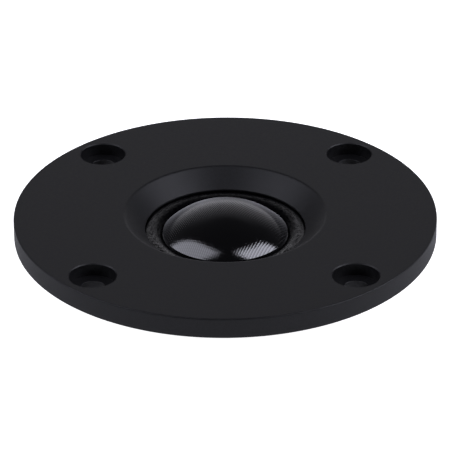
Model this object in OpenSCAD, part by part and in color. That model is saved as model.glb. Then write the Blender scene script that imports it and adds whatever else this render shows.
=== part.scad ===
// Car tweeter: a silk dome in a round flush-mount faceplate, driven by a compact neodymium motor.
// Millimetres. Z = 0 is the flange's back face and +Z points out of the dome.

/* [Faceplate] */
// Diameter of the flange
flange_d = 94; // [93:0.5:100]
// Thickness of the flange
flange_t = 4.7; // [4.6:0.1:5.5]
// Bevel that breaks the flange's edges
edge_break = 0.2; // [0.1:0.05:0.4]
// Diameter of the waveguide's mouth
mouth_d = 44.8; // [44:0.1:47]
// Diameter of the waveguide's throat
throat_d = 35.76; // [35.4:0.02:36.2]
// Depth of the throat below the front face
throat_depth = 3.75; // [3.2:0.05:3.9]
// Rounding between the waveguide and the front face
mouth_round = 0.9; // [0.3:0.1:1.5]
// Height of the throat's lip above its undercut
lip_t = 0.4; // [0.3:0.05:0.5]
// Diameter of the undercut below the lip
undercut_d = 38.4; // [37.6:0.1:38.8]
// Diameter of the boss behind the flange
boss_d = 59; // [58.6:0.1:60]
// Height of the boss behind the flange
boss_h = 2.35; // [2.3:0.05:2.6]
// Diameter of the pocket that takes the diaphragm's ring
pocket_d = 47.4; // [47.2:0.05:47.6]
// Depth of the pocket's roof behind the flange's back face
pocket_roof = 0.35; // [0.3:0.05:0.4]

/* [Mounting holes] */
// Diameter of the circle of mounting holes
hole_circle_d = 80; // [78:0.5:82]
// Diameter of the through hole
hole_d = 5.2; // [4.5:0.1:5.6]
// Diameter of the counterbore for the screw's head
counterbore_d = 10.3; // [9:0.1:11]
// Depth of the counterbore
counterbore_depth = 2.9; // [2.5:0.1:3.4]
// Bevel round the counterbore's mouth
counterbore_bevel = 0.25; // [0.1:0.05:0.4]

/* [Flange gasket] */
// Middle diameter of the foam gasket
gasket_d = 67; // [66.5:0.1:67.5]
// Width of the foam gasket
gasket_w = 4.6; // [4:0.1:4.8]
// Depth of its groove in the flange's back face
gasket_groove = 0.8; // [0.5:0.1:1]

/* [Diaphragm] */
// Diameter of the dome at its rim, which is the inside of the coil former
dome_d = 27.8; // [27.6:0.05:27.9]
// Height of the dome above its rim
dome_h = 6; // [5:0.05:6.5]
// Height of the straight skirt that carries the dome's rim
skirt_h = 0.6; // [0:0.05:0.8]
// Depth of the skirt's foot behind the flange's back face
dome_seat = 0.6; // [0.5:0.05:0.65]
// Thickness of the dome's coated silk
silk_t = 0.25; // [0.15:0.01:0.3]
// Outer diameter of the surround's half roll
roll_d = 38.8; // [38.4:0.05:39]
// Inner diameter of the surround's half roll
roll_inner_d = 27.9; // [27.9:0.02:28]
// Height of the half roll
roll_h = 1.15; // [0.9:0.05:1.2]
// Outer diameter of the surround's flat edge
surround_d = 40.8; // [40.2:0.1:41]
// Outer diameter of the diaphragm's ring
holder_d = 47; // [46.6:0.1:47.1]

/* [Voice coil] */
// Wall thickness of the coil former
former_t = 0.12; // [0.08:0.01:0.14]
// Length of the coil former
former_len = 4.15; // [3.8:0.05:4.4]
// Radial thickness of the winding
winding_t = 0.28; // [0.2:0.01:0.3]
// Height of the winding
winding_h = 2.7; // [2:0.1:2.8]

/* [Motor] */
// Thickness of the front plate
plate_t = 2.5; // [2.3:0.1:2.6]
// Diameter of the front plate
plate_d = 58; // [57.6:0.1:58.4]
// Diameter of the front plate's hole round the coil
gap_outer_d = 29.1; // [29:0.05:29.4]
// Diameter of the inner pole
pole_d = 26.9; // [26.6:0.05:27]
// Thickness of the copper shorting cap
copper_t = 0.25; // [0.15:0.05:0.3]
// Diameter of the neodymium magnet
magnet_d = 25; // [22:0.5:26]
// Thickness of the neodymium magnet
magnet_t = 4.4; // [4:0.1:5]
// Outer diameter of the steel cup
cup_d = 43; // [42:0.2:43.4]
// Wall thickness of the steel cup
cup_wall = 3.5; // [2.5:0.1:4]
// Thickness of the steel cup's base
cup_base = 3; // [2.5:0.1:4]
// Diameter of the vent through the motor
vent_d = 8; // [6:0.5:8.4]
// Diameter of the felt on the pole
damper_d = 24; // [20:0.5:26]
// Thickness of the felt on the pole
damper_t = 2; // [1:0.1:2.3]

/* [Rear chamber] */
// Diameter of the rear cap
cap_d = 36; // [34:0.5:38]
// Height of the rear cap
cap_h = 4.05; // [4:0.05:6]
// Wall thickness of the rear cap
cap_wall = 1.5; // [1.2:0.1:1.6]
// Thickness of the felt in the rear cap
chamber_felt_t = 2; // [1:0.1:2.2]

/* [Terminals] */
// Width of the positive tab
tab_pos_w = 4.8; // [4.7:0.05:4.9]
// Width of the negative tab
tab_neg_w = 2.8; // [2.7:0.05:2.9]
// Thickness of both tabs
tab_t = 0.5; // [0.4:0.05:0.6]
// Length of the tabs behind the block
tab_len = 6.3; // [5:0.1:7]
// Thickness of the block behind the front plate
block_depth = 2.5; // [2:0.1:3]

/* [Fasteners] */
// Nominal diameter of the motor screws
screw_d = 3; // [2.9:0.05:3]
// Length of the motor screws under the head
screw_len = 6; // [5:0.1:6.3]
// Diameter of the circle of motor screws
screw_circle_d = 52; // [51.8:0.1:52.2]
// Diameter of the locating pins
pin_d = 1.5; // [1.4:0.05:1.6]
// Diameter of the circle of locating pins
pin_circle_d = 44.4; // [44.2:0.1:44.6]

/* [Hidden] */
$fn = 96;

cut = 1;                // how far a cutting shape runs past the face that it cuts
slack = 0.02;           // radial room round the screws' threads and the pins
glue_t = 0.05;          // glue line on each side of the silk, and on the coil former
gasket_room = 0.2;      // radial room beside the foam gasket in its groove
ring_room = 0.1;        // radial room between the silk's edges and the pieces beside them
silk_gap = 0.06;        // radial gap between the dome's rim and the half roll
felt_room = 0.2;        // radial room round each felt
pin_room = 0.15;        // room past each end of a locating pin
screw_room = 0.2;       // radial room round the motor screws in the front plate
lead_room = 0.2;        // room on each side of a lead
quarters = [45, 135, 225, 315];
sides = [0, 180];
cross = [0, 90];

// Heights, from the front to the back
skirt_z = -dome_seat;
dome_rim_z = skirt_z + skirt_h;
seat_z = skirt_z - glue_t;               // front of the surround's flat edge
holder_seat_z = seat_z - silk_t;         // face of the ring that the surround is glued to
copper_proud = 0.4;                      // how far the copper cap stands above the front plate
pole_low = 0.1;                          // how far the inner pole reaches below it
plate_front_z = -boss_h;
plate_back_z = plate_front_z - plate_t;
copper_front_z = plate_front_z + copper_proud;
pole_front_z = copper_front_z - copper_t;
pole_back_z = plate_back_z - pole_low;
magnet_back_z = pole_back_z - magnet_t;
cup_back_z = magnet_back_z - cup_base;
cap_back_z = cup_back_z - cap_h;

// Dome and half roll
dome_r = dome_d / 2;
dome_sphere_r = (dome_r * dome_r + dome_h * dome_h) / (2 * dome_h);
dome_centre_z = dome_rim_z + dome_h - dome_sphere_r;
roll_half_w = (roll_d - roll_inner_d) / 4;
roll_r = (roll_half_w * roll_half_w + roll_h * roll_h) / (2 * roll_h);
roll_centre_r = (roll_d + roll_inner_d) / 4;
roll_centre_z = seat_z + roll_h - roll_r;
collar_h = 0.7;                          // length of skirt that is glued into the former

// Coil
former_top_z = holder_seat_z - glue_t;
former_outer_r = dome_r + former_t;
winding_z = plate_front_z - plate_t / 2 - winding_h / 2;

// Leads, which run flat from the former to the tabs
lead_w = 0.6;
lead_t = 0.15;
lead_x = 3.3;
lead_start = [former_outer_r + glue_t, -1.95];
lead_end = [22.6, -1.175];
lead_level_y = 16.9;
lead_steps = 12;

// Terminal block and its places in the plate, the ring and the boss
block_front_y = 20.9;
block_w = 13;
block_head_w = 15;
block_head_t = 0.6;
block_y = 27.2;
block_rear_y = cup_d / 2 + 0.8;          // the block clears the steel cup behind the plate
block_step = 0.4;                        // how far the block's head is set back from its edge
rib_step = 1;                            // the same for the middle rib
block_room = 0.1;
leg_top_z = plate_front_z + block_head_t + tab_t;
tab_y = 25.1;
tab_front_y = 21.3;
tab_end_z = plate_back_z - block_depth - tab_len;
relief_z = 0.4;                          // roof of the pocket over the leads' ends
relief_inset = 0.6;
eye_height = 2.6;                        // height of the eye above the tab's end

// Motor screws
head_d = 5.5;
head_h = 2;
tapped_depth = boss_h + 1.6;
recess_w = 0.8;
recess_len = 3;
recess_depth = 1.1;
pin_low_z = plate_front_z - 1.4;
pin_high_z = 0.65;

// Vent plug
plug_low = 0.5;                          // how far the plug stops short of the cup's back
plug_high = 1;                           // how far it reaches into the magnet

// Points of an arc about centre c, from angle a to angle b
function arc(c, r, a, b, steps) = [
    for (i = [0:steps])
        let (t = a + (b - a) * i / steps)
            c + r * [cos(t), sin(t)]
];

// Half section of the faceplate, from the throat round the front, the rim and the back
function faceplate_outline() =
    let (
        throat_z = flange_t - throat_depth,
        slope = atan2(throat_depth, (mouth_d - throat_d) / 2),
        tangent = mouth_round * tan(slope / 2),
        groove_in = (gasket_d - gasket_w) / 2 - gasket_room,
        groove_out = (gasket_d + gasket_w) / 2 + gasket_room
    )
    concat(
        [[throat_d / 2, throat_z - lip_t], [throat_d / 2, throat_z]],
        arc([mouth_d / 2 + tangent, flange_t - mouth_round], mouth_round, 90 + slope, 90, 6),
        [
            [flange_d / 2 - edge_break, flange_t],
            [flange_d / 2, flange_t - edge_break],
            [flange_d / 2, edge_break],
            [flange_d / 2 - edge_break, 0],
            [groove_out, 0],
            [groove_out, gasket_groove],
            [groove_in, gasket_groove],
            [groove_in, 0],
            [boss_d / 2, 0],
            [boss_d / 2, -boss_h + edge_break],
            [boss_d / 2 - edge_break, -boss_h],
            [pocket_d / 2, -boss_h],
            [pocket_d / 2, -pocket_roof],
            [undercut_d / 2, -pocket_roof],
            [undercut_d / 2, throat_z - lip_t]
        ]
    );

// Flat ring between two radii and two heights
module ring(outer_r, inner_r, low, high) {
    rotate_extrude()
        translate([inner_r, low])
            square([outer_r - inner_r, high - low]);
}

// Block centred on X, between two places in Y and two heights
module block(width, near, far, low, high) {
    translate([-width / 2, near, low])
        cube([width, far - near, high - low]);
}

// Cylinder between two heights
module rod(d, low, high) {
    translate([0, 0, low])
        cylinder(d = d, h = high - low);
}

// Children repeated round a circle
module around(angles, circle_d) {
    for (a = angles)
        rotate([0, 0, a])
            translate([circle_d / 2, 0, 0])
                children();
}

module faceplate() {
    color("#28292b")
        difference() {
            rotate_extrude()
                polygon(faceplate_outline());
            around(quarters, hole_circle_d) {
                rod(hole_d, -cut, flange_t + cut);
                rod(counterbore_d, flange_t - counterbore_depth, flange_t + cut);
                translate([0, 0, flange_t - counterbore_bevel])
                    cylinder(
                        d1 = counterbore_d,
                        d2 = counterbore_d + 2 * (counterbore_bevel + cut),
                        h = counterbore_bevel + cut
                    );
            }
            around(quarters, screw_circle_d)
                rod(screw_d + 2 * slack, -boss_h - cut, tapped_depth - boss_h);
            around(sides, pin_circle_d)
                rod(pin_d + 2 * slack, -boss_h, pin_high_z + pin_room);
            block(block_head_w + 2 * block_room, block_front_y, block_y, -boss_h - cut, -pocket_roof);
            block(block_w - relief_inset, block_front_y, block_y - relief_inset, -boss_h, relief_z);
        }
}

module flange_gasket() {
    color("#1c1c1e")
        ring((gasket_d + gasket_w) / 2, (gasket_d - gasket_w) / 2, 0, gasket_groove);
}

module surround() {
    color("#3a3a3c")
        rotate_extrude() {
            intersection() {
                translate([roll_centre_r, roll_centre_z])
                    difference() {
                        circle(r = roll_r);
                        circle(r = roll_r - silk_t);
                    }
                translate([dome_r + silk_gap, holder_seat_z])
                    square([roll_d / 2 + ring_room - dome_r - silk_gap, roll_h + silk_t + cut]);
            }
            translate([roll_d / 2, holder_seat_z])
                square([(surround_d - roll_d) / 2, silk_t]);
        }
}

module dome() {
    color("#232326") {
        difference() {
            intersection() {
                translate([0, 0, dome_centre_z])
                    sphere(r = dome_sphere_r);
                rod(dome_d, dome_rim_z, dome_rim_z + dome_h + cut);
            }
            translate([0, 0, dome_centre_z])
                sphere(r = dome_sphere_r - silk_t);
        }
        ring(dome_r, dome_r - silk_t, skirt_z - collar_h, dome_rim_z);
    }
}

module diaphragm_gasket() {
    color("#3b3b3b")
        ring(surround_d / 2, roll_d / 2 + ring_room, seat_z, -pocket_roof);
}

module diaphragm_ring() {
    color("#1f1f22")
        difference() {
            rotate_extrude()
                polygon([
                    [roll_d / 2 + ring_room, plate_front_z],
                    [holder_d / 2, plate_front_z],
                    [holder_d / 2, -pocket_roof],
                    [surround_d / 2 + ring_room, -pocket_roof],
                    [surround_d / 2 + ring_room, holder_seat_z],
                    [roll_d / 2 + ring_room, holder_seat_z]
                ]);
            block(block_head_w + 2 * block_room, block_front_y - block_room, holder_d,
                plate_front_z - cut, cut);
            for (x = [-lead_x, lead_x])
                translate([x, 0, 0])
                    block(lead_w + 2 * lead_room, roll_d / 2 - cut, holder_d / 2,
                        lead_end[1] - lead_room, cut);
            around(sides, pin_circle_d)
                rod(pin_d + 2 * slack, plate_front_z - cut, cut);
        }
}

module coil_former() {
    color("#b9bbbd")
        ring(former_outer_r, dome_r, former_top_z - former_len, former_top_z);
}

module coil_winding() {
    color("#b5713c")
        ring(former_outer_r + winding_t, former_outer_r, winding_z, winding_z + winding_h);
}

// Flat braided lead: it leaves the former low, rises under the roll and runs level to its tab
module lead(x) {
    rise = lead_end[1] - lead_start[1];
    line = concat(
        [
            for (i = [0:lead_steps])
                let (t = i / lead_steps)
                    [
                        lead_start[0] + (lead_level_y - lead_start[0]) * t,
                        lead_start[1] + rise * (1 - cos(180 * t)) / 2
                    ]
        ],
        [lead_end]
    );
    last = len(line) - 1;
    color("#c9a27a")
        translate([x + lead_w / 2, 0, 0])
            rotate([90, 0, -90])
                mirror([1, 0])
                    linear_extrude(lead_w)
                        polygon(concat(
                            [for (p = line) p + [0, lead_t / 2]],
                            [for (i = [0:last]) line[last - i] - [0, lead_t / 2]]
                        ));
}

module lead_positive() {
    lead(lead_x);
}

module lead_negative() {
    lead(-lead_x);
}

module front_plate() {
    color("#8d9093")
        difference() {
            ring(plate_d / 2, gap_outer_d / 2, plate_back_z, plate_front_z);
            around(quarters, screw_circle_d)
                rod(screw_d + 2 * screw_room, plate_back_z - cut, plate_front_z + cut);
            around(sides, pin_circle_d)
                rod(pin_d + 2 * slack, pin_low_z - pin_room, plate_front_z + cut);
            block(block_w + 2 * block_room, block_front_y - block_room, plate_d, plate_back_z - cut, cut);
        }
}

module inner_pole() {
    color("#8d9093")
        ring(pole_d / 2, vent_d / 2, pole_back_z, pole_front_z);
}

module shorting_cap() {
    color("#c07a4a") {
        ring(pole_d / 2 + copper_t, pole_d / 2, pole_back_z, copper_front_z);
        ring(pole_d / 2, vent_d / 2, pole_front_z, copper_front_z);
    }
}

module pole_damper() {
    color("#4a4a4a")
        ring(damper_d / 2, vent_d / 2 + felt_room, copper_front_z, copper_front_z + damper_t);
}

module magnet() {
    color("#c3c5c8")
        ring(magnet_d / 2, vent_d / 2, magnet_back_z, pole_back_z);
}

module yoke_cup() {
    bevel = 0.8;
    inner_r = cup_d / 2 - cup_wall;
    color("#76797c")
        rotate_extrude()
            polygon([
                [vent_d / 2, cup_back_z],
                [cup_d / 2 - bevel, cup_back_z],
                [cup_d / 2, cup_back_z + bevel],
                [cup_d / 2, plate_back_z],
                [inner_r, plate_back_z],
                [inner_r, magnet_back_z],
                [vent_d / 2, magnet_back_z]
            ]);
}

module vent_plug() {
    color("#8b8b86")
        rod(vent_d - felt_room, cup_back_z + plug_low, magnet_back_z + plug_high);
}

// Closed rear chamber, whose open side is glued to the back of the cup
module rear_cap() {
    corner = 1.2;
    r = cap_d / 2;
    color("#1d1d1f")
        rotate_extrude()
            polygon(concat(
                [[0, cap_back_z]],
                arc([r - corner, cap_back_z + corner], corner, 270, 360, 6),
                [
                    [r, cup_back_z],
                    [r - cap_wall, cup_back_z],
                    [r - cap_wall, cap_back_z + cap_wall],
                    [0, cap_back_z + cap_wall]
                ]
            ));
}

module chamber_felt() {
    color("#8b8b86")
        rod(cap_d - 2 * (cap_wall + felt_room), cap_back_z + cap_wall,
            cap_back_z + cap_wall + chamber_felt_t);
}

module terminal_block() {
    head_top_z = plate_front_z + block_head_t;
    rib_w = 0.9;
    color("#1d1d1f")
        difference() {
            union() {
                block(block_head_w, block_front_y, block_y - block_step, plate_front_z, head_top_z);
                block(block_w, block_front_y, block_y, plate_back_z, plate_front_z);
                block(block_w, block_rear_y, block_y, plate_back_z - block_depth, plate_back_z);
                for (x = [-1, 1])
                    translate([x * (block_head_w - rib_w) / 2, 0, 0])
                        block(rib_w, block_front_y, block_y - block_step, head_top_z, -pocket_roof);
                block(rib_w, block_front_y, block_y - rib_step, head_top_z, -pocket_roof);
            }
            tab_slot(lead_x, tab_pos_w);
            tab_slot(-lead_x, tab_neg_w);
        }
}

module tab_slot(x, w) {
    translate([x, 0, 0])
        block(w, tab_y, tab_y + tab_t, plate_back_z - block_depth - cut, leg_top_z);
}

// Brass tab: a level leg for the lead, then a blade that leaves through the block
module tab(x, w) {
    taper = 0.8;
    eye_d = 1.3;
    color("#c9a04a")
        translate([x, 0, 0])
            difference() {
                union() {
                    block(w, tab_front_y, tab_y + tab_t, leg_top_z - tab_t, leg_top_z);
                    block(w, tab_y, tab_y + tab_t, tab_end_z, leg_top_z - tab_t);
                }
                for (side = [-1, 1])
                    translate([side * w / 2, tab_y - cut, tab_end_z])
                        rotate([0, 45, 0])
                            translate([-taper / 2, 0, -taper / 2])
                                cube([taper, tab_t + 2 * cut, taper]);
                translate([0, tab_y - cut, tab_end_z + eye_height])
                    rotate([-90, 0, 0])
                        cylinder(d = eye_d, h = tab_t + 2 * cut);
            }
}

module terminal_positive() {
    tab(lead_x, tab_pos_w);
}

module terminal_negative() {
    tab(-lead_x, tab_neg_w);
}

module solder_joints() {
    joint_r = 0.9;
    joint_h = 0.45;
    low = lead_end[1] + lead_t / 2;
    color("#b4b7ba")
        for (x = [-lead_x, lead_x])
            translate([x, lead_end[0] - joint_r, low + joint_h - joint_r])
                intersection() {
                    sphere(r = joint_r);
                    rod(2 * joint_r, joint_r - joint_h, joint_r + cut);
                }
}

// Pan-head machine screws, put in from behind
module motor_screws() {
    round_r = 1;
    color("#2c2d30")
        around(quarters, screw_circle_d) {
            rod(screw_d, plate_back_z, plate_back_z + screw_len);
            difference() {
                rotate_extrude()
                    polygon(concat(
                        [[0, plate_back_z], [0, plate_back_z - head_h]],
                        arc([head_d / 2 - round_r, plate_back_z - head_h + round_r], round_r, 270, 360, 5),
                        [[head_d / 2, plate_back_z]]
                    ));
                for (a = cross)
                    rotate([0, 0, a])
                        block(recess_len, -recess_w / 2, recess_w / 2,
                            plate_back_z - head_h - cut, plate_back_z - head_h + recess_depth);
            }
        }
}

module locating_pins() {
    tip = 0.2;
    r = pin_d / 2;
    color("#b4b7ba")
        around(sides, pin_circle_d)
            rotate_extrude()
                polygon([
                    [0, pin_low_z],
                    [r - tip, pin_low_z],
                    [r, pin_low_z + tip],
                    [r, pin_high_z - tip],
                    [r - tip, pin_high_z],
                    [0, pin_high_z]
                ]);
}

faceplate();
flange_gasket();
surround();
dome();
diaphragm_gasket();
diaphragm_ring();
coil_former();
coil_winding();
lead_positive();
lead_negative();
front_plate();
inner_pole();
shorting_cap();
pole_damper();
magnet();
yoke_cup();
vent_plug();
rear_cap();
chamber_felt();
terminal_block();
terminal_positive();
terminal_negative();
solder_joints();
motor_screws();
locating_pins();
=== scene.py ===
import math

import bpy
from mathutils import Matrix, Vector
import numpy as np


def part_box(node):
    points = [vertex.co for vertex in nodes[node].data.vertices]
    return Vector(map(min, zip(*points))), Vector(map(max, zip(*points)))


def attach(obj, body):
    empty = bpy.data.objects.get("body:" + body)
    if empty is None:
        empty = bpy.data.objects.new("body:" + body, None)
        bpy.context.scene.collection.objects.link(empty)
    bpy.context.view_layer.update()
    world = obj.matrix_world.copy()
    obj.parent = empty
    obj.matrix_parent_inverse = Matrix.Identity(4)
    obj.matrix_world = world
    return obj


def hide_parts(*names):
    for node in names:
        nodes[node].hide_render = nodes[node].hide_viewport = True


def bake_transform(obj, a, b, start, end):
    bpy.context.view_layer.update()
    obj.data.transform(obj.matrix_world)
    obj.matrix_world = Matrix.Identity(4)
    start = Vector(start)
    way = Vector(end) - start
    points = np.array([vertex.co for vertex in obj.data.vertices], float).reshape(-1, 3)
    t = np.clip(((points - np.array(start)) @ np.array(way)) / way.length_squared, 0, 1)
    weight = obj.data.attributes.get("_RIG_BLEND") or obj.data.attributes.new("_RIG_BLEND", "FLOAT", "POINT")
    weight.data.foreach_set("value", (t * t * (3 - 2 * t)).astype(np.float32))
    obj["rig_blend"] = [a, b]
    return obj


# Soft-dome car tweeter, built round its CAD frame. Lengths are in millimetres until mm makes them metres.

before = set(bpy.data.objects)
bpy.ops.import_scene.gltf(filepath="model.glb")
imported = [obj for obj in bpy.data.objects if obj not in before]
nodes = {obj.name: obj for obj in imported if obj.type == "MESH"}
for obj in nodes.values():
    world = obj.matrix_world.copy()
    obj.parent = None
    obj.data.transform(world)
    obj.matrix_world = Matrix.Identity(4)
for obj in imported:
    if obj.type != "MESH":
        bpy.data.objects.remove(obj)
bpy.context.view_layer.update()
mm = 0.001
print("frame loaded")


def hexColour(code):  # sRGB hex to the linear colour that shaders want
    channels = [int(code[i:i + 2], 16) / 255 for i in (1, 3, 5)]
    linear = [c / 12.92 if c <= 0.04045 else ((c + 0.055) / 1.055) ** 2.4 for c in channels]
    return (*linear, 1.0)


def addNode(tree, kind, settings=None, inputs=None):  # one node, its settings, and its values or links
    node = tree.nodes.new(kind)
    for name, value in (settings or {}).items():
        setattr(node, name, value)
    for name, value in (inputs or {}).items():
        socket = node.inputs[name]
        if isinstance(value, bpy.types.NodeSocket):
            tree.links.new(value, socket)
        else:
            socket.default_value = value
    return node


def newMaterial(name, colour, values):  # a principled shader with its fixed values set on its own sockets
    material = bpy.data.materials.new(name)
    material.use_nodes = True
    shader = material.node_tree.nodes["Principled BSDF"]
    shader.inputs["Base Color"].default_value = hexColour(colour)
    for socket, value in values.items():
        shader.inputs[socket].default_value = value
    coords = addNode(material.node_tree, "ShaderNodeTexCoord").outputs["Object"]
    return material, material.node_tree, shader, coords


def feed(shader, socket, output):
    shader.id_data.links.new(output, shader.inputs[socket])


def setStops(ramp, low, high):  # the two ends of a colour ramp, as position and hex colour
    for stop, (position, colour) in zip(ramp.color_ramp.elements, (low, high)):
        stop.position = position
        stop.color = hexColour(colour)


def perMm(size):  # texture scale at which one feature spans this many millimetres
    return 1 / (size * mm)


def wavePerMm(pitch):  # a wave texture repeats every 2 pi / 20 units at scale 1
    return math.pi / 10 / (pitch * mm)


def clearSelection():
    bpy.ops.object.select_all(action="DESELECT")


def pick(piece):  # selects this object and nothing else
    clearSelection()
    piece.select_set(True)
    bpy.context.view_layer.objects.active = piece


view = {  # distances in metres, angles in degrees
    "distance": 0.7306, "elevation": 28.49, "azimuth": 0.54, "roll": 0.35,
    "lens": 263.0, "lookBelow": 0.0028, "lookLeft": 0.00006, "nearest": 0.01, "farthest": 50,
}
studio = {
    "floorSize": 8.0, "floorColour": "#f4f4f4", "floorGlow": 1.0, "floorBounce": 0.1, "paper": "#ffffff",
    "haze": "#f8f7ff", "skyGlow": 0.035,
    "backGlow": 0.74, "backHalfWidth": (12, 50),  # full to this azimuth either side, and gone by the second
    "backFade": ((6, 1.0), (27, 0.42), (42, 0.2), (56, 0.0)),  # elevation, and the share of the glow there
    "cloth": "#eff0ff", "softboxDistance": 1.6,
    "softboxes": {  # corners as azimuth and elevation, and how bright the cloth is
        "leftSoftbox": {"glow": 3.3, "corners": [
            (155, 21), (157.5, 36), (162, 46.5), (177, 59), (208, 67),
            (250, 68), (235, 60), (220, 51), (205, 36), (190, 18),
        ]},
        "rightSoftbox": {"glow": 5.7, "corners": [
            (303, 65), (331, 63), (359, 53.5), (10, 48.5), (16, 38),
            (19, 24), (5, 14), (335, 28), (328, 46), (316, 56),
        ]},
    },
}


def direction(azimuth, elevation):  # azimuth turns from +X towards +Y
    a, e = math.radians(azimuth), math.radians(elevation)
    return Vector((math.cos(e) * math.cos(a), math.cos(e) * math.sin(a), math.sin(e)))


def addCamera():
    plateTop = Vector((0, 0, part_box("faceplate")[1].z))
    outward = direction(view["azimuth"] - 90, view["elevation"])
    bpy.ops.object.camera_add(location=plateTop + outward * view["distance"])
    camera = bpy.context.object
    camera.name = "mainCamera"
    turn = (-outward).to_track_quat("-Z", "Y")
    right, up = turn @ Vector((1, 0, 0)), turn @ Vector((0, 1, 0))
    target = plateTop - up * view["lookBelow"] - right * view["lookLeft"]
    turn = (target - camera.location).to_track_quat("-Z", "Y")
    camera.rotation_mode = "QUATERNION"
    camera.rotation_quaternion = turn @ Matrix.Rotation(math.radians(-view["roll"]), 3, "Z").to_quaternion()
    camera.data.lens = view["lens"]
    camera.data.clip_start = view["nearest"]
    camera.data.clip_end = view["farthest"]
    bpy.context.scene.camera = camera


def addFloor():  # lit acrylic that looks white and throws a softer light back on the part
    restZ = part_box("rear_cap")[0].z
    bpy.ops.mesh.primitive_plane_add(size=studio["floorSize"], location=(0, 0, restZ))
    floor = bpy.context.object
    floor.name = "floor"
    material, tree, shader = newMaterial(
        "litWhiteAcrylic", studio["floorColour"], {"Roughness": 0.6, "Specular IOR Level": 0.2}
    )[:3]
    path = addNode(tree, "ShaderNodeLightPath")
    glow = addNode(tree, "ShaderNodeMapRange", None, {
        "Value": path.outputs["Is Camera Ray"],
        "To Min": studio["floorBounce"], "To Max": studio["floorGlow"],
    })
    shader.inputs["Emission Color"].default_value = hexColour(studio["paper"])
    feed(shader, "Emission Strength", glow.outputs["Result"])
    floor.data.materials.append(material)


def addSoftbox(name, box):  # a flat light behind cloth, which shows in the gloss and never to the camera
    clearSelection()
    bpy.ops.mesh.primitive_circle_add(vertices=len(box["corners"]), fill_type="NGON")
    panel = bpy.context.object
    panel.name = name
    for vertex, corner in zip(panel.data.vertices, box["corners"]):
        vertex.co = direction(*corner) * studio["softboxDistance"]
    panel.visible_camera = False
    material = bpy.data.materials.new(name)
    material.use_nodes = True
    tree = material.node_tree
    tree.nodes.clear()
    cloth = addNode(tree, "ShaderNodeEmission", None, {
        "Color": hexColour(studio["cloth"]), "Strength": box["glow"],
    })
    addNode(tree, "ShaderNodeOutputMaterial", None, {"Surface": cloth.outputs[0]})
    panel.data.materials.append(material)


def addWorld():  # pale to look at; for lighting, dim all round with one soft glow behind the part
    world = bpy.data.worlds.new("studio")
    bpy.context.scene.world = world
    world.use_nodes = True
    tree = world.node_tree
    tree.nodes.clear()
    path = addNode(tree, "ShaderNodeLightPath")
    sky = addNode(tree, "ShaderNodeTexCoord")
    axes = addNode(tree, "ShaderNodeSeparateXYZ", None, {"Vector": sky.outputs["Generated"]})
    sideways = addNode(tree, "ShaderNodeMath", {"operation": "ARCTAN2"}, {
        0: axes.outputs["X"], 1: axes.outputs["Y"],
    })
    aside = addNode(tree, "ShaderNodeMath", {"operation": "ABSOLUTE"}, {0: sideways.outputs[0]})
    height = addNode(tree, "ShaderNodeMath", {"operation": "ARCSINE"}, {0: axes.outputs["Z"]})
    across = addNode(tree, "ShaderNodeMapRange", {"interpolation_type": "SMOOTHSTEP"}, {
        "Value": aside.outputs[0], "From Min": math.radians(studio["backHalfWidth"][0]),
        "From Max": math.radians(studio["backHalfWidth"][1]), "To Min": 1.0, "To Max": 0.0,
    })
    level = addNode(tree, "ShaderNodeMath", {"operation": "DIVIDE", "use_clamp": True}, {
        0: height.outputs[0], 1: math.radians(90),
    })
    up = addNode(tree, "ShaderNodeValToRGB", None, {"Fac": level.outputs[0]})
    up.color_ramp.interpolation = "EASE"
    stops = up.color_ramp.elements
    while len(stops) < len(studio["backFade"]):
        stops.new(0.5)
    for stop, (angle, share) in zip(stops, studio["backFade"]):
        stop.position = angle / 90
        stop.color = (share, share, share, 1)
    patch = addNode(tree, "ShaderNodeMath", {"operation": "MULTIPLY"}, {
        0: across.outputs[0], 1: up.outputs[0],
    })
    glow = addNode(tree, "ShaderNodeMath", {"operation": "MULTIPLY_ADD"}, {
        0: patch.outputs[0], 1: studio["backGlow"], 2: studio["skyGlow"],
    })
    lit = addNode(tree, "ShaderNodeBackground", None, {
        "Color": hexColour(studio["haze"]), "Strength": glow.outputs[0],
    })
    pale = addNode(tree, "ShaderNodeBackground", None, {"Color": hexColour(studio["paper"]), "Strength": 1.0})
    mix = addNode(tree, "ShaderNodeMixShader", None, {
        0: path.outputs["Is Camera Ray"], 1: lit.outputs[0], 2: pale.outputs[0],
    })
    addNode(tree, "ShaderNodeOutputWorld", None, {"Surface": mix.outputs[0]})


bpy.context.scene.view_settings.view_transform = "Standard"
addCamera()
addFloor()
addWorld()
for name, box in studio["softboxes"].items():
    addSoftbox(name, box)
print("camera, floor and light placed")


def rounded(corners, steps=4):  # closed outline of (radius, height, rounding) with arcs at its corners
    points = []
    for i, (x, y, rounding) in enumerate(corners):
        corner = Vector((x, y))
        if rounding == 0:
            points.append((x, y))
            continue
        before = (Vector(corners[i - 1][:2]) - corner).normalized()
        after = (Vector(corners[(i + 1) % len(corners)][:2]) - corner).normalized()
        half = before.angle(after) / 2
        run = rounding / math.tan(half)
        centre = corner + (before + after).normalized() * rounding / math.sin(half)
        start = corner + before * run - centre
        sweep = start.angle_signed(corner + after * run - centre)
        hold = min(rounding * 0.4, 0.05)  # rings this far past the arc keep the faces beside it flat
        points.append(tuple(corner + before * (run + hold)))
        for step in range(steps + 1):
            spoke = start.copy()
            spoke.rotate(Matrix.Rotation(-sweep * step / steps, 2))
            points.append(tuple(centre + spoke))
        points.append(tuple(corner + after * (run + hold)))
    return points


def growRing(radius, height, nextRadius, nextHeight):  # the selected ring runs on to the next one
    bpy.ops.mesh.extrude_edges_move(TRANSFORM_OT_translate={"value": (0, 0, (nextHeight - height) * mm)})
    ratio = nextRadius / radius
    bpy.ops.transform.resize(value=(ratio, ratio, 1), center_override=(0, 0, nextHeight * mm))


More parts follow.
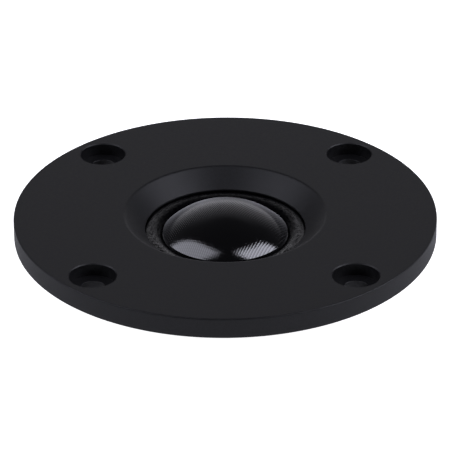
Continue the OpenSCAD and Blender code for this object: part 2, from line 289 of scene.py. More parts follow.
def closePole(height, poleHeight):  # the selected ring runs in to a point on the axis
    bpy.ops.mesh.extrude_edges_move(TRANSFORM_OT_translate={"value": (0, 0, (poleHeight - height) * mm)})
    bpy.ops.mesh.merge(type="CENTER")


def turned(name, outline, segments=256, sharp=30):  # a lathe's work: outline is a list of (radius, height)
    rings = [point for point in outline if point[0] > 0]
    clearSelection()
    first = {"radius": rings[0][0] * mm, "location": (0, 0, rings[0][1] * mm)}
    bpy.ops.mesh.primitive_circle_add(vertices=segments, **first)
    piece = bpy.context.object
    piece.name = piece.data.name = name
    bpy.ops.object.transform_apply()
    bpy.ops.object.mode_set(mode="EDIT")
    bpy.ops.mesh.select_mode(type="VERT")
    bpy.ops.mesh.select_all(action="SELECT")
    for near, far in zip(rings, rings[1:]):
        growRing(*near, *far)
    if outline[-1][0] == 0:
        closePole(rings[-1][1], outline[-1][1])
    bpy.ops.mesh.select_all(action="DESELECT")
    bpy.ops.mesh.select_non_manifold()
    if outline[0][0] == 0:
        closePole(rings[0][1], outline[0][1])
    else:
        bpy.ops.mesh.bridge_edge_loops()
    bpy.ops.mesh.select_all(action="SELECT")
    bpy.ops.mesh.normals_make_consistent(inside=False)
    bpy.ops.object.mode_set(mode="OBJECT")
    bpy.ops.object.shade_smooth_by_angle(angle=math.radians(sharp))
    return piece


def bar(name, low, high):  # a plain block to cut with, between two corners
    clearSelection()
    bpy.ops.mesh.primitive_cube_add(size=1, location=[(a + b) / 2 * mm for a, b in zip(low, high)])
    piece = bpy.context.object
    piece.name = name
    piece.scale = [(b - a) * mm for a, b in zip(low, high)]
    bpy.ops.object.transform_apply()
    return piece


def around(piece, radius, angles):  # copies of a piece round the axis, each with its own mesh
    copies = []
    for angle in angles:
        pick(piece)
        bpy.ops.object.duplicate()
        copy = bpy.context.object
        copy.rotation_euler.z = math.radians(angle)
        copy.location = direction(angle, 0) * radius * mm
        bpy.ops.object.transform_apply()
        copies.append(copy)
    bpy.data.objects.remove(piece)
    return copies


def joined(pieces, name):  # one object from several
    clearSelection()
    for piece in pieces:
        piece.select_set(True)
    bpy.context.view_layer.objects.active = pieces[0]
    bpy.ops.object.join()
    pieces[0].name = pieces[0].data.name = name
    return pieces[0]


def applyAll(piece):  # its modifiers, in order
    pick(piece)
    for modifier in list(piece.modifiers):
        bpy.ops.object.modifier_apply(modifier=modifier.name)


def cutAway(piece, cutters, sharp=30):  # takes the cutters out of a piece, and throws them away
    tool = joined(cutters, piece.name + "Cutter")
    cut = piece.modifiers.new("cut", "BOOLEAN")
    cut.operation = "DIFFERENCE"
    cut.solver = "EXACT"
    cut.object = tool
    applyAll(piece)
    bpy.data.objects.remove(tool)
    bpy.ops.object.shade_smooth_by_angle(angle=math.radians(sharp))


def finish(piece, material, body, slot, *replaced):  # its material, and what it stands for in the frame
    piece.data.materials.clear()
    piece.data.materials.append(material)
    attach(piece, body)
    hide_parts(*replaced)


def pressWeave(piece, weave, heading):  # raises parallel threads, lying across the heading, by their height
    bandPeriod = 2 * math.pi / 10 / math.sqrt(3)  # how often a wood texture's bands repeat along (1, 1, 1)
    bpy.ops.object.empty_add(location=(0, 0, 0))
    guide = bpy.context.object
    guide.rotation_mode = "QUATERNION"
    guide.rotation_quaternion = Vector((1, 1, 1)).rotation_difference(direction(heading, 0))
    guide.scale = [weave["pitch"] * mm / bandPeriod] * 3
    bands = bpy.data.textures.new("threads", "WOOD")
    bands.wood_type = "BANDS"
    bands.noise_basis_2 = "SIN"
    press = piece.modifiers.new("threads", "DISPLACE")
    press.texture = bands
    press.texture_coords = "OBJECT"
    press.texture_coords_object = guide
    press.mid_level = 0.5
    press.strength = weave["height"] * mm
    bpy.context.view_layer.update()
    applyAll(piece)
    bpy.data.objects.remove(guide)


plate = {
    "radius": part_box("faceplate")[1].x / mm, "front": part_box("faceplate")[1].z / mm,
    "bossBack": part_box("faceplate")[0].z / mm, "edge": 0.3, "segments": 320,
    "mouth": 22.4, "mouthRound": 0.9, "throat": 17.88, "throatDepth": 3.75, "lip": 0.4, "lipRound": 0.08,
    "undercut": 19.2, "pocket": 23.7, "pocketRoof": -0.35, "pocketRound": 0.1,
    "boss": 29.5, "bossRound": 0.15, "groove": (31.0, 36.0), "grooveDepth": 0.8, "grooveRound": 0.1,
    "holeCircle": 40.0, "hole": 2.6, "bore": 5.15, "boreDepth": 2.9, "boreBevel": 0.19, "seatBevel": 0.05,
    "screwCircle": 26.0, "tapped": 1.52, "tappedTop": 1.6, "holeAngles": (45, 135, 225, 315),
    "pinCircle": 22.2, "pin": 0.77, "pinTop": 0.8, "pinAngles": (0, 180),
    "reliefs": (((-7.6, 20.9, -0.35), (7.6, 27.2)), ((-6.2, 20.9, 0.4), (6.2, 26.6))),
    "behind": -9, "past": 1,  # cutters start behind the plate, and run this far past a surface
}


def drill(name, radius, low, high, segments):  # a round cutter
    return turned(name, [(0, low), (radius, low), (radius, high), (0, high)], segments)


def makeFaceplate():
    p = plate
    throatZ = p["front"] - p["throatDepth"]
    outline = rounded([
        (p["throat"], throatZ - p["lip"], p["lipRound"]), (p["throat"], throatZ, p["lipRound"]),
        (p["mouth"], p["front"], p["mouthRound"]), (p["radius"], p["front"], p["edge"]),
        (p["radius"], 0, p["edge"]), (p["groove"][1], 0, p["grooveRound"]),
        (p["groove"][1], p["grooveDepth"], 0), (p["groove"][0], p["grooveDepth"], 0),
        (p["groove"][0], 0, p["grooveRound"]), (p["boss"], 0, p["bossRound"]),
        (p["boss"], p["bossBack"], p["edge"]), (p["pocket"], p["bossBack"], p["pocketRound"]),
        (p["pocket"], p["pocketRoof"], 0), (p["undercut"], p["pocketRoof"], 0),
        (p["undercut"], throatZ - p["lip"], 0),
    ])
    piece = turned("machinedFaceplate", outline, p["segments"])
    seatZ = p["front"] - p["boreDepth"]
    bore = turned("bore", [
        (0, p["behind"]), (p["hole"] + p["seatBevel"] + p["past"], -p["past"]), (p["hole"], p["seatBevel"]),
        (p["hole"], seatZ - p["seatBevel"]), (p["hole"] + p["seatBevel"], seatZ), (p["bore"], seatZ),
        (p["bore"], p["front"] - p["boreBevel"]),
        (p["bore"] + p["boreBevel"] + p["past"], p["front"] + p["past"]), (0, p["front"] + p["past"]),
    ], 96)
    tapped = drill("tapped", p["tapped"], p["behind"], p["tappedTop"], 32)
    pin = drill("pin", p["pin"], p["behind"], p["pinTop"], 24)
    cutters = around(bore, p["holeCircle"], p["holeAngles"])
    cutters += around(tapped, p["screwCircle"], p["holeAngles"])
    cutters += around(pin, p["pinCircle"], p["pinAngles"])
    cutAway(piece, cutters)
    for (left, near, top), (right, far) in p["reliefs"]:  # room for the terminal block
        cutAway(piece, [bar("relief", (left, near, p["behind"]), (right, far, top))])
    return piece


def blackAnodisedAluminium():
    # Aluminium turned, fine-blasted and anodised black: soft, slightly blue sheen over a very fine grain.
    material, tree, shader, coords = newMaterial(
        "blackAnodisedAluminium", "#070708", {"Specular IOR Level": 0.34}
    )
    grain = addNode(tree, "ShaderNodeTexNoise", None, {  # blasting pits of 0.1 mm, drawn at 0.45 mm to show
        "Vector": coords, "Scale": perMm(0.45), "Detail": 3.0, "Roughness": 0.6,
    })
    tone = addNode(tree, "ShaderNodeMapRange", None, {
        "Value": grain.outputs["Fac"], "From Min": 0.3, "From Max": 0.7, "To Min": 0.44, "To Max": 0.56,
    })
    feed(shader, "Roughness", tone.outputs["Result"])
    shade = addNode(tree, "ShaderNodeValToRGB", None, {"Fac": grain.outputs["Fac"]})
    setStops(shade, (0.35, "#020203"), (0.65, "#111113"))
    feed(shader, "Base Color", shade.outputs["Color"])
    pits = addNode(tree, "ShaderNodeBump", None, {
        "Height": grain.outputs["Fac"], "Strength": 0.25, "Distance": 0.02 * mm,
    })
    feed(shader, "Normal", pits.outputs["Normal"])
    return material


finish(makeFaceplate(), blackAnodisedAluminium(), "motor", "anodised_aluminium", "faceplate")
print("faceplate machined")

dome = {
    "radius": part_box("dome")[1].x / mm, "low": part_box("dome")[0].z / mm, "top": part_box("dome")[1].z / mm,
    "rim": 0.0, "thickness": 0.25, "rings": 104, "segments": 640, "innerRings": 12, "sharp": 40,
    "warp": {"pitch": 0.5, "height": 0.005}, "weft": {"pitch": 0.5, "height": 0.002},  # real silk is finer
    "heading": -27,  # which way the warp threads are spaced, in degrees from +X
}


def sphereArc(radius, rise, base, steps):  # points from the rim up to the pole of a shallow cap
    ball = (radius * radius + rise * rise) / (2 * rise)
    half = math.asin(radius / ball)
    centre = base + rise - ball
    angles = [half * (1 - i / steps) for i in range(steps + 1)]
    return [(ball * math.sin(angle), centre + ball * math.cos(angle)) for angle in angles]


def makeDome():
    d = dome
    rise = d["top"] - d["rim"]
    skin = d["thickness"]
    outer = sphereArc(d["radius"], rise, d["rim"], d["rings"])
    inner = sphereArc(d["radius"] - skin, rise - skin, d["rim"], d["innerRings"])
    outer[-1], inner[-1] = (0, outer[-1][1]), (0, inner[-1][1])
    collar = [(d["radius"] - skin, d["low"]), (d["radius"], d["low"])]
    piece = turned("silkDome", inner[::-1] + collar + outer, d["segments"], d["sharp"])
    pressWeave(piece, d["warp"], d["heading"])
    pressWeave(piece, d["weft"], d["heading"] + 90)
    return piece


def varnishedSilk():
    # Silk pressed hot into a dome and soaked in damping varnish: mirror-dark, and the threads show through.
    material, tree, shader, coords = newMaterial(
        "varnishedSilk", "#030304", {"Specular IOR Level": 0.85, "Sheen Weight": 0.7, "Sheen Roughness": 0.3}
    )
    laid = addNode(tree, "ShaderNodeMapping", None, {
        "Vector": coords, "Rotation": (0, 0, math.radians(-dome["heading"])),
    })
    warp = addNode(tree, "ShaderNodeTexWave", {"bands_direction": "X"}, {  # same pitch as the raised threads
        "Vector": laid.outputs["Vector"], "Scale": wavePerMm(dome["warp"]["pitch"]),
        "Distortion": 0.4, "Detail": 1.0, "Detail Scale": 0.3,
    })
    weft = addNode(tree, "ShaderNodeTexWave", {"bands_direction": "Y"}, {
        "Vector": laid.outputs["Vector"], "Scale": wavePerMm(dome["weft"]["pitch"]),
    })
    fuzz = addNode(tree, "ShaderNodeTexNoise", None, {"Vector": coords, "Scale": perMm(0.25), "Detail": 2.0})
    cloth = addNode(tree, "ShaderNodeMath", {"operation": "MULTIPLY_ADD"}, {
        0: weft.outputs["Fac"], 1: 0.3, 2: warp.outputs["Fac"],
    })
    surface = addNode(tree, "ShaderNodeMath", {"operation": "MULTIPLY_ADD"}, {
        0: fuzz.outputs["Fac"], 1: 1.8, 2: cloth.outputs[0],
    })
    threads = addNode(tree, "ShaderNodeBump", None, {
        "Height": surface.outputs[0], "Strength": 0.7, "Distance": 0.009 * mm,
    })
    feed(shader, "Normal", threads.outputs["Normal"])
    slant = addNode(tree, "ShaderNodeLayerWeight", None, {"Blend": 0.5})
    blur = addNode(tree, "ShaderNodeMapRange", {"interpolation_type": "SMOOTHSTEP"}, {
        "Value": slant.outputs["Facing"],  # at a steep slant the threads hide the varnish
        "From Min": 0.58, "From Max": 0.82, "To Min": 0.03, "To Max": 0.25,
    })
    gaps = addNode(tree, "ShaderNodeMapRange", {"interpolation_type": "SMOOTHSTEP"}, {
        "Value": cloth.outputs[0],  # the gaps between threads stay dull
        "From Min": 0.1, "From Max": 0.6, "To Min": 1.0, "To Max": 0.0,
    })
    depth = addNode(tree, "ShaderNodeMapRange", None, {
        "Value": slant.outputs["Facing"],  # and show more at a slant
        "From Min": 0.33, "From Max": 0.5, "To Min": 0.1, "To Max": 0.42,
    })
    dull = addNode(tree, "ShaderNodeMath", {"operation": "MULTIPLY_ADD", "use_clamp": True}, {
        0: gaps.outputs["Result"], 1: depth.outputs["Result"], 2: blur.outputs["Result"],
    })
    feed(shader, "Roughness", dull.outputs[0])
    gloss = addNode(tree, "ShaderNodeMapRange", {"interpolation_type": "SMOOTHSTEP"}, {
        "Value": cloth.outputs[0],  # and reflect less than the threads
        "From Min": 0.1, "From Max": 0.9, "To Min": 0.45, "To Max": 0.85,
    })
    feed(shader, "Specular IOR Level", gloss.outputs["Result"])
    return material


finish(makeDome(), varnishedSilk(), "diaphragm", "coated_silk_dome", "dome")
print("dome pressed")

roll = {
    "inner": 13.96, "outer": 19.4, "edge": 20.4, "seat": -0.65, "thickness": 0.25,
    "centre": 16.675, "centreZ": -3.3035, "radius": 3.8035,  # of the half roll's arc
    # "dull" is the radius inside which the surround's gloss is fully turned down as painted shade
    "steps": 40, "segments": 512, "pitch": 0.47, "dull": 14.9,
}


def rollArc(radius, base):  # from the seam with the dome, over the roll, and down to the seat
    r = roll
    start = math.acos(max(-1, min(1, (r["inner"] - r["centre"]) / radius)))
    end = math.asin((base - r["centreZ"]) / radius)
    points = []
    for step in range(r["steps"] + 1):
        angle = start + (end - start) * step / r["steps"]
        points.append((r["centre"] + radius * math.cos(angle), r["centreZ"] + radius * math.sin(angle)))
    return points


def makeRoll():
    r = roll
    under = r["seat"] - r["thickness"]
    outline = rollArc(r["radius"], r["seat"]) + [(r["edge"], r["seat"]), (r["edge"], under)]
    outline += rollArc(r["radius"] - r["thickness"], under)[::-1]
    return turned("silkSurround", outline, r["segments"])


def tackySilk():
    # The same silk with a thin, tacky coat: dark, with single threads that catch the light as specks. Its gloss
    # is turned down towards the dome as painted shade.
    material, tree, shader, coords = newMaterial("tackySilk", "#060607", {"Specular IOR Level": 0.4})
    laid = addNode(tree, "ShaderNodeMapping", None, {
        "Vector": coords, "Rotation": (0, 0, math.radians(-dome["heading"])),
    })
    warp, weft = [addNode(tree, "ShaderNodeTexWave", {"bands_direction": axis}, {
        "Vector": laid.outputs["Vector"], "Scale": wavePerMm(roll["pitch"]),
        "Distortion": 1.0, "Detail Scale": 0.5,
    }) for axis in "XY"]
    crossing = addNode(tree, "ShaderNodeMath", {"operation": "MULTIPLY"}, {
        0: warp.outputs["Fac"], 1: weft.outputs["Fac"],
    })
    tone = addNode(tree, "ShaderNodeValToRGB", None, {"Fac": crossing.outputs[0]})
    setStops(tone, (0, "#020203"), (1, "#0a0a0b"))
    feed(shader, "Base Color", tone.outputs["Color"])
    specks = addNode(tree, "ShaderNodeTexNoise", None, {
        "Vector": coords, "Scale": perMm(0.38), "Detail": 2.0,
    })
    shine = addNode(tree, "ShaderNodeMapRange", None, {
        "Value": specks.outputs["Fac"], "From Min": 0.4, "From Max": 0.62, "To Min": 0.24, "To Max": 0.08,
    })
    feed(shader, "Roughness", shine.outputs["Result"])
    gloss = addNode(tree, "ShaderNodeMapRange", None, {
        "Value": specks.outputs["Fac"], "From Min": 0.44, "From Max": 0.56, "To Min": 0.05, "To Max": 1.4,
    })
    flat = addNode(tree, "ShaderNodeVectorMath", {"operation": "MULTIPLY"}, {0: coords, 1: (1, 1, 0)})
    radius = addNode(tree, "ShaderNodeVectorMath", {"operation": "LENGTH"}, {0: flat.outputs["Vector"]})
    paintedSeamShade = addNode(tree, "ShaderNodeMapRange", {"interpolation_type": "SMOOTHSTEP"}, {
        "Value": radius.outputs["Value"],  # painted shade: the gloss is turned down towards the seam with the dome, where the dome's shadow falls
        "From Min": roll["dull"] * mm, "From Max": roll["centre"] * mm, "To Min": 0.08, "To Max": 1.0,
    })
    # the gloss of the specks, times the painted shade by the seam
    lit = addNode(tree, "ShaderNodeMath", {"operation": "MULTIPLY"}, {
        0: gloss.outputs["Result"], 1: paintedSeamShade.outputs["Result"],
    })
    feed(shader, "Specular IOR Level", lit.outputs[0])
    surface = addNode(tree, "ShaderNodeMath", {"operation": "ADD"}, {
        0: specks.outputs["Fac"], 1: crossing.outputs[0],
    })
    threads = addNode(tree, "ShaderNodeBump", None, {
        "Height": surface.outputs[0], "Strength": 0.7, "Distance": 0.03 * mm,
    })
    feed(shader, "Normal", threads.outputs["Normal"])
    return material


silkRoll = makeRoll()
silkRoll.data.materials.append(tackySilk())
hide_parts("surround")
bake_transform(silkRoll, "motor", "diaphragm", start=(roll["outer"] * mm, 0, 0), end=(roll["inner"] * mm, 0, 0))
weights = silkRoll.data.attributes["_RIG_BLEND"]
for vertex, weight in zip(silkRoll.data.vertices, weights.data):  # a ring follows the dome by its radius
    out = math.hypot(vertex.co.x, vertex.co.y) / mm
    share = min(1, max(0, (roll["outer"] - out) / (roll["outer"] - roll["inner"])))
    weight.value = share * share * (3 - 2 * share)
print("surround formed")

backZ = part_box("front_plate")[0].z / mm  # the front plate's rear face, which the cup and the screws sit on
gasket = {
    "low": 0.0, "high": 0.8, "middle": 33.5, "width": 4.6, "round": 0.25, "gluedRound": 0.1, "segments": 192,
}


def makeGasket():
    g = gasket
    inner, outer = g["middle"] - g["width"] / 2, g["middle"] + g["width"] / 2
    return turned("foamGasket", rounded([
        (inner, g["low"], g["round"]), (outer, g["low"], g["round"]),
        (outer, g["high"], g["gluedRound"]), (inner, g["high"], g["gluedRound"]),
    ]), g["segments"])


cup = {
    "radius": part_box("yoke_cup")[1].x / mm, "top": backZ, "back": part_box("yoke_cup")[0].z / mm,
    "wall": 3.5, "base": 3.0, "vent": 4.0, "ventRound": 0.15, "bevel": 0.8, "bevelRound": 0.12,
    "rimRound": 0.1, "grooves": (2.5, 2.0), "grooveDepth": 0.08, "toolFeed": 0.4, "segments": 224,
}


def makeCup():
    c = cup
    inside, floorZ = c["radius"] - c["wall"], c["back"] + c["base"]
    outline = [
        (c["vent"], c["back"], c["ventRound"]), (c["radius"] - c["bevel"], c["back"], c["bevelRound"]),
        (c["radius"], c["back"] + c["bevel"], c["bevelRound"]),
    ]
    for offset in c["grooves"]:  # two fine grooves where the blank was gripped for turning
        z = (c["top"] + c["back"]) / 2 - offset / 2
        outline += [
            (c["radius"], z - c["grooveDepth"], 0), (c["radius"] - c["grooveDepth"], z, 0),
            (c["radius"], z + c["grooveDepth"], 0),
        ]
    outline += [
        (c["radius"], c["top"], c["rimRound"]), (inside, c["top"], c["rimRound"]), (inside, floorZ, 0),
        (c["vent"], floorZ, c["ventRound"]),
    ]
    return turned("turnedCup", rounded(outline), c["segments"])


cap = {
    "radius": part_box("rear_cap")[1].x / mm, "front": cup["back"], "back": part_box("rear_cap")[0].z / mm,
    "wall": 1.5, "corner": 1.2, "innerCorner": 0.4, "arcSteps": 6, "segments": 224,
    "dish": 0.25, "dishRadius": 14.5, "dishSlope": 0.5, "dishRound": 0.15, "brinkRound": 0.25, "floorRing": 3,
    "ledge": 0.35, "ledgeStep": 0.2, "ledgeRound": 0.1, "ledgeSlope": 0.1,
    "gate": 0.9, "gateDepth": 0.12, "gateSlope": 0.25,
}


def makeCap():
    c = cap
    inside, floorZ = c["radius"] - c["wall"], c["back"] + c["wall"]
    ledgeZ, spigot = c["front"] - c["ledge"], c["radius"] - c["ledgeStep"]
    body = rounded([
        (c["dishRadius"], c["back"] + c["dish"], c["dishRound"]),
        (c["dishRadius"] + c["dishSlope"], c["back"], c["brinkRound"]), (c["radius"], c["back"], c["corner"]),
        (c["radius"], ledgeZ, c["ledgeRound"]), (spigot, ledgeZ + c["ledgeSlope"], 0),
        (spigot, c["front"], 0), (inside, c["front"], 0), (inside, floorZ, c["innerCorner"]),
        (c["dishRadius"] - c["floorRing"], floorZ, 0),
    ], c["arcSteps"])
    gateZ = c["back"] + c["gateDepth"]  # the mark where the plastic ran in
    gate = [(0, gateZ), (c["gate"], gateZ), (c["gate"] + c["gateSlope"], c["back"] + c["dish"])]
    return turned("mouldedCap", gate + body + [(0, floorZ)], c["segments"])


washer = {
    "radius": 29.0, "edge": 0.25, "bore": 14.55, "boreRound": 0.12, "front": -2.35, "segments": 256,
    "screwHole": 1.7, "pinHole": 0.77, "pinFloor": 0.3, "notch": ((-6.6, 20.8), (6.6, 40)),
}


def makeWasher():
    w = washer
    piece = turned("frontWasher", rounded([
        (w["bore"], backZ, w["boreRound"]), (w["radius"], backZ, w["edge"]),
        (w["radius"], w["front"], w["edge"]), (w["bore"], w["front"], w["boreRound"]),
    ]), w["segments"])
    below = backZ - plate["past"]
    hole = drill("screwHole", w["screwHole"], below, 0, 32)
    pin = drill("pinHole", w["pinHole"], (backZ + w["front"]) / 2 - w["pinFloor"], 0, 24)
    holes = around(hole, plate["screwCircle"], plate["holeAngles"])
    cutAway(piece, holes + around(pin, plate["pinCircle"], plate["pinAngles"]))
    (left, near), (right, far) = w["notch"]
    cutAway(piece, [bar("blockNotch", (left, near, below), (right, far, 0))])
    return piece


screw = {
    "head": 2.75, "headHeight": 2.0, "headRound": 1.0, "seatRound": 0.1, "arcSteps": 6,
    "shank": 1.5, "length": 6.0, "pitch": 0.5, "threadDepth": 0.12, "point": 0.3, "segments": 48, "sharp": 35,
    "recess": 3.0, "recessWidth": 0.8, "recessDepth": 1.1, "recessTaper": 0.6,
}


def narrowTop(block, height, ratio):  # the block's top face shrinks about the axis, at this height
    pick(block)
    bpy.ops.object.mode_set(mode="EDIT")
    bpy.ops.mesh.select_all(action="DESELECT")
    bpy.ops.object.mode_set(mode="OBJECT")
    for face in block.data.polygons:
        face.select = face.normal.z > 0.9
    bpy.ops.object.mode_set(mode="EDIT")
    bpy.ops.transform.resize(value=(ratio, ratio, 1), center_override=(0, 0, height * mm))
    bpy.ops.object.mode_set(mode="OBJECT")


def makeScrews():
    s = screw
    top, tip = backZ - s["headHeight"], backZ + s["length"]
    outline = rounded([
        (0, top, 0), (s["head"], top, s["headRound"]), (s["head"], backZ, s["seatRound"]),
        (s["shank"], backZ, 0),
    ], s["arcSteps"])
    for turn in range(1, int(s["length"] / s["pitch"])):  # ridges at the thread's pitch
        z = backZ + turn * s["pitch"]
        outline += [(s["shank"] - s["threadDepth"], z - s["pitch"] / 2), (s["shank"], z)]
    outline += [(s["shank"] - s["point"], tip), (0, tip)]
    one = turned("motorScrews", outline, s["segments"])
    half, side = s["recess"] / 2, s["recessWidth"] / 2
    for x, y in ((half, side), (side, half)):  # a cross recess that narrows towards its floor
        slot = bar("slot", (-x, -y, top - plate["past"]), (x, y, top + s["recessDepth"]))
        narrowTop(slot, top, s["recessTaper"])
        cutAway(one, [slot], s["sharp"])
    return joined(around(one, plate["screwCircle"], plate["holeAngles"]), "motorScrews")


softening = {"weld": 0.002, "flatWithin": 1, "sharp": 35, "segments": 2, "block": 0.12, "tab": 0.06}


def softenedCopy(name, source, width):  # a CAD piece with its edges rounded
    pick(nodes[source])
    bpy.ops.object.duplicate()
    piece = bpy.context.object
    piece.name = piece.data.name = name
    bpy.ops.object.mode_set(mode="EDIT")
    bpy.ops.mesh.select_all(action="SELECT")
    bpy.ops.mesh.remove_doubles(threshold=softening["weld"] * mm)
    bpy.ops.mesh.dissolve_limited(angle_limit=math.radians(softening["flatWithin"]))
    bpy.ops.object.mode_set(mode="OBJECT")
    soften = piece.modifiers.new("soften", "BEVEL")
    soften.width = width * mm
    soften.segments = softening["segments"]
    soften.limit_method = "ANGLE"
    soften.angle_limit = math.radians(softening["sharp"])
    applyAll(piece)
    bpy.ops.object.shade_smooth_by_angle(angle=math.radians(softening["sharp"]))
    return piece


def closedCellFoam():
    # Cut closed-cell foam: dull, soft, and pitted with tiny burst cells.
    material, tree, shader, coords = newMaterial(
        "closedCellFoam", "#17171a", {"Roughness": 0.9, "Specular IOR Level": 0.2}
    )
    cells = addNode(tree, "ShaderNodeTexVoronoi", None, {
        "Vector": coords, "Scale": perMm(0.35), "Randomness": 1.0,
    })
    tone = addNode(tree, "ShaderNodeValToRGB", None, {"Fac": cells.outputs["Distance"]})
    setStops(tone, (0, "#0b0b0c"), (1, "#2a2a2d"))
    feed(shader, "Base Color", tone.outputs["Color"])
    pits = addNode(tree, "ShaderNodeBump", None, {
        "Height": cells.outputs["Distance"], "Strength": 0.7, "Distance": 0.08 * mm,
    })
    feed(shader, "Normal", pits.outputs["Normal"])
    return material


def sparkEroded(name, colour, grainSize, roughness):  # plastic with a tool's grain and flow patches
    material, tree, shader, coords = newMaterial(name, colour, {"Specular IOR Level": 0.45})
    grain = addNode(tree, "ShaderNodeTexNoise", None, {
        "Vector": coords, "Scale": perMm(grainSize), "Detail": 3.0,
    })
    flow = addNode(tree, "ShaderNodeTexNoise", None, {
        "Vector": coords, "Scale": perMm(9), "Detail": 1.0, "Distortion": 1.5,
    })
    gloss = addNode(tree, "ShaderNodeMapRange", None, {
        "Value": flow.outputs["Fac"], "From Min": 0.35, "From Max": 0.65,
        "To Min": roughness - 0.06, "To Max": roughness + 0.06,
    })
    feed(shader, "Roughness", gloss.outputs["Result"])
    texture = addNode(tree, "ShaderNodeBump", None, {
        "Height": grain.outputs["Fac"], "Strength": 0.4, "Distance": 0.03 * mm,
    })
    feed(shader, "Normal", texture.outputs["Normal"])
    return material


def blackAbs():
    # ABS moulded in an eroded tool: an even satin grain, a little glossier where the melt ran fast.
    return sparkEroded("blackAbs", "#131315", 0.3, 0.5)


def glassFilledNylon():
    # Nylon filled with glass fibre, moulded: greyer and duller than ABS, with a finer grain.
    return sparkEroded("glassFilledNylon", "#1a1a1c", 0.25, 0.55)


def metalFilm(name, dark, light, roughness, patch, marks=0.2):
    # A tint that drifts in patches of this size, and hairline marks that dull it.
    material, tree, shader, coords = newMaterial(name, light, {"Metallic": 1.0})
    cloud = addNode(tree, "ShaderNodeTexNoise", None, {
        "Vector": coords, "Scale": perMm(patch), "Detail": 4.0, "Distortion": 0.6,
    })
    tone = addNode(tree, "ShaderNodeValToRGB", None, {"Fac": cloud.outputs["Fac"]})
    setStops(tone, (0.3, dark), (0.7, light))
    feed(shader, "Base Color", tone.outputs["Color"])
    streaks = addNode(tree, "ShaderNodeMapping", None, {
        "Vector": coords, "Scale": (1, 8, 8), "Rotation": (0, 0, 0.6),
    })
    hair = addNode(tree, "ShaderNodeTexNoise", None, {
        "Vector": streaks.outputs["Vector"], "Scale": perMm(3), "Detail": 5.0,
    })
    wear = addNode(tree, "ShaderNodeMapRange", None, {
        "Value": hair.outputs["Fac"], "From Min": 0.35, "From Max": 0.7,
        "To Min": roughness, "To Max": min(1, roughness + marks),
    })
    feed(shader, "Roughness", wear.outputs["Result"])
    return material


def clearZincPlate():
    # Stamped steel, barrel plated with zinc and passivated clear: cool pale grey, faintly clouded.
    return metalFilm("clearZincPlate", "#7c7f83", "#a9abae", 0.3, 7)


def blackZincPlate():
    # Zinc plate passivated black: a dark, slightly uneven metal with a satin shine.
    return metalFilm("blackZincPlate", "#2c2c31", "#505057", 0.3, 1.5)


def tinnedBrass():
    # Brass strip dipped in tin: a warm silver, duller in patches.
    return metalFilm("tinnedBrass", "#a39a84", "#cfc9b8", 0.25, 2.5)


def aluminiumFoil():
    # Rolled foil: bright and pale, with fine rolling lines.
    return metalFilm("aluminiumFoil", "#a9abae", "#d4d6d8", 0.22, 1.0)


def spunCopper():
    # Copper drawn over the pole: orange, and browner where it has begun to tarnish.
    return metalFilm("spunCopper", "#9a5330", "#cc7f55", 0.25, 4)


def nickelPlate():
    # Sintered magnet plated with nickel: bright and faintly yellow, with few marks.
    return metalFilm("nickelPlate", "#a5a49f", "#cfcdc6", 0.14, 5, 0.1)


def leadFreeSolder():
    # Solder left to freeze: bright grey, mottled in small patches.
    return metalFilm("leadFreeSolder", "#9da0a3", "#c9cccf", 0.18, 0.6)


def groundSteelPin():
    # Hardened steel ground to size: clean and bright, with the wheel's fine marks.
    return metalFilm("groundSteelPin", "#9fa1a3", "#c6c8ca", 0.2, 1.2)


def blackPassivatedSteel():
    # Steel turned on a lathe and passivated black: the tool's fine rings under a thin dark film.
    material = metalFilm("blackPassivatedSteel", "#2b2b30", "#4a4a50", 0.34, 6)
    tree = material.node_tree
    marks = {  # a feed of 0.1 mm, drawn coarser to show
        "Vector": addNode(tree, "ShaderNodeTexCoord").outputs["Object"],
        "Scale": wavePerMm(cup["toolFeed"]), "Distortion": 0.3, "Detail": 1.0,
    }
    rings = addNode(tree, "ShaderNodeTexWave", {"wave_type": "RINGS", "rings_direction": "Z"}, marks)
    steps = addNode(tree, "ShaderNodeTexWave", {"bands_direction": "Z"}, marks)
    both = addNode(tree, "ShaderNodeMath", {"operation": "ADD"}, {
        0: rings.outputs["Fac"], 1: steps.outputs["Fac"],
    })
    cuts = addNode(tree, "ShaderNodeBump", None, {
        "Height": both.outputs[0], "Strength": 0.35, "Distance": 0.01 * mm,
    })
    feed(tree.nodes["Principled BSDF"], "Normal", cuts.outputs["Normal"])
    return material


def woolFelt():
    # Grey pressed wool felt: matted fibres that scatter light, and a soft halo at its edges.
    material, tree, shader, coords = newMaterial("woolFelt", "#6d6c69", {
        "Roughness": 1.0, "Specular IOR Level": 0.1, "Sheen Weight": 0.4, "Sheen Roughness": 0.6,
    })
    swirl = addNode(tree, "ShaderNodeTexNoise", None, {
        "Vector": coords, "Scale": perMm(0.5), "Detail": 6.0, "Distortion": 3.0,
    })
    tone = addNode(tree, "ShaderNodeValToRGB", None, {"Fac": swirl.outputs["Fac"]})
    setStops(tone, (0.3, "#46453f"), (0.75, "#9a9993"))
    feed(shader, "Base Color", tone.outputs["Color"])
    fibres = addNode(tree, "ShaderNodeBump", None, {
        "Height": swirl.outputs["Fac"], "Strength": 0.8, "Distance": 0.15 * mm,
    })
    feed(shader, "Normal", fibres.outputs["Normal"])
    return material


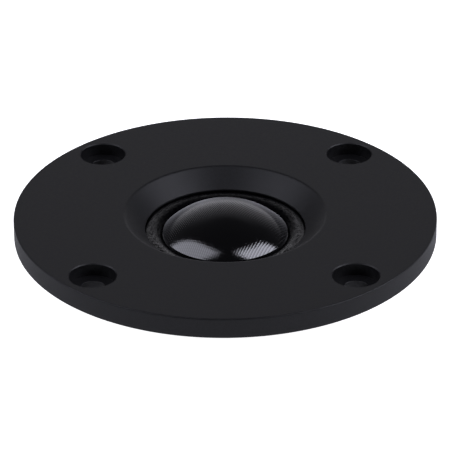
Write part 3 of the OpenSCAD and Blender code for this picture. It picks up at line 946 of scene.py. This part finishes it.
def copperCladWire():
    # Copper-clad wire wound tight on the former: a painted highlight along each turn and painted shade between
    # the turns.
    material, tree, shader, coords = newMaterial(
        "copperCladWire", "#b8703e", {"Metallic": 1.0, "Roughness": 0.3}
    )
    ridges = addNode(tree, "ShaderNodeTexWave", {"bands_direction": "Z"}, {
        "Vector": coords, "Scale": wavePerMm(0.13),
    })
    # painted highlight and shade: bright on each turn's crest, dark where it meets the next turn
    tone = addNode(tree, "ShaderNodeValToRGB", None, {"Fac": ridges.outputs["Fac"]})
    setStops(tone, (0, "#5c2d12"), (1, "#cf8a55"))
    feed(shader, "Base Color", tone.outputs["Color"])
    turns = addNode(tree, "ShaderNodeBump", None, {
        "Height": ridges.outputs["Fac"], "Strength": 0.8, "Distance": 0.04 * mm,
    })
    feed(shader, "Normal", turns.outputs["Normal"])
    return material


def tinselBraid():
    # Flat braid of tinned copper tinsel: crossing strands, with painted shade in the gaps between them.
    material, tree, shader, coords = newMaterial(
        "tinselBraid", "#b89a7a", {"Metallic": 1.0, "Roughness": 0.35}
    )
    slanted = addNode(tree, "ShaderNodeMapping", None, {
        "Vector": coords, "Rotation": (0, 0, math.radians(45)),
    })
    one, two = [addNode(tree, "ShaderNodeTexWave", {"bands_direction": axis}, {
        "Vector": slanted.outputs["Vector"], "Scale": wavePerMm(0.2),
    }) for axis in "XY"]
    braid = addNode(tree, "ShaderNodeMath", {"operation": "MAXIMUM"}, {
        0: one.outputs["Fac"], 1: two.outputs["Fac"],
    })
    # painted shade: the colour darkens into the gaps between the strands
    tone = addNode(tree, "ShaderNodeValToRGB", None, {"Fac": braid.outputs[0]})
    setStops(tone, (0, "#4a3524"), (1, "#d2b491"))
    feed(shader, "Base Color", tone.outputs["Color"])
    strands = addNode(tree, "ShaderNodeBump", None, {
        "Height": braid.outputs[0], "Strength": 0.8, "Distance": 0.04 * mm,
    })
    feed(shader, "Normal", strands.outputs["Normal"])
    return material


foam = closedCellFoam()
zinc = clearZincPlate()
nylon = glassFilledNylon()
tin = tinnedBrass()
finish(makeGasket(), foam, "motor", "foam", "flange_gasket")
finish(makeCup(), blackPassivatedSteel(), "motor", "black_passivated_steel", "yoke_cup")
finish(makeCap(), blackAbs(), "motor", "moulded_abs", "rear_cap")
finish(makeWasher(), zinc, "motor", "zinc_plated_steel", "front_plate")
finish(makeScrews(), blackZincPlate(), "motor", "black_zinc_screw", "motor_screws")
block = softenedCopy("terminalBlock", "terminal_block", softening["block"])
finish(block, nylon, "motor", "glass_filled_nylon", "terminal_block")
for name, source in (("positiveTab", "terminal_positive"), ("negativeTab", "terminal_negative")):
    finish(softenedCopy(name, source, softening["tab"]), tin, "motor", "tinned_brass", source)
print("motor built")

felt = woolFelt()
tinsel = tinselBraid()
inner = {  # CAD pieces that keep their shapes
    "diaphragm_gasket": foam, "diaphragm_ring": nylon, "coil_former": aluminiumFoil(),
    "coil_winding": copperCladWire(), "lead_positive": tinsel, "lead_negative": tinsel, "inner_pole": zinc,
    "shorting_cap": spunCopper(), "pole_damper": felt, "magnet": nickelPlate(), "vent_plug": felt,
    "chamber_felt": felt, "solder_joints": leadFreeSolder(), "locating_pins": groundSteelPin(),
}
for name, material in inner.items():
    nodes[name].data.materials.clear()
    nodes[name].data.materials.append(material)
print("inner pieces finished")
